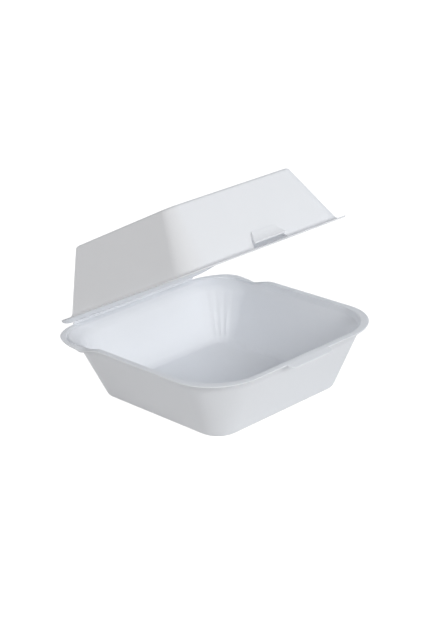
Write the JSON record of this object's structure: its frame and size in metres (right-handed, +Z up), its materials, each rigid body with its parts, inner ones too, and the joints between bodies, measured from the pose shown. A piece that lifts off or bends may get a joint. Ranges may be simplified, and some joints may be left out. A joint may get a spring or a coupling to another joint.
{
  "type": "foam clamshell container",
  "caption": "Square foam takeaway clamshell: tapered tray and matching lid joined by a crease hinge, with a stepped rim, a front tongue and a lanced slot to latch it.",
  "frame": {"origin": "middle of the tray's flat underside, on the table", "axes": "+Z up, +Y towards the crease hinge, -Y towards the tongue at the front, X along the crease"},
  "size_m": [0.147, 0.1547, 0.1306],
  "materials": {
    "foam_tray": "white expanded polystyrene foam skin, matte",
    "foam_lid": "white expanded polystyrene foam skin, matte"
  },
  "bodies": {
    "tray": {"tray": "foam_tray"},
    "lid": {"lid": "foam_lid"}
  },
  "joints": [
    {"name": "lid_crease", "type": "hinge", "parent": "tray", "child": "lid", "pos_m": [0, 0.076, 0.038], "axis": [-1, 0, 0], "range_deg": [-26, 144]}
  ]
}
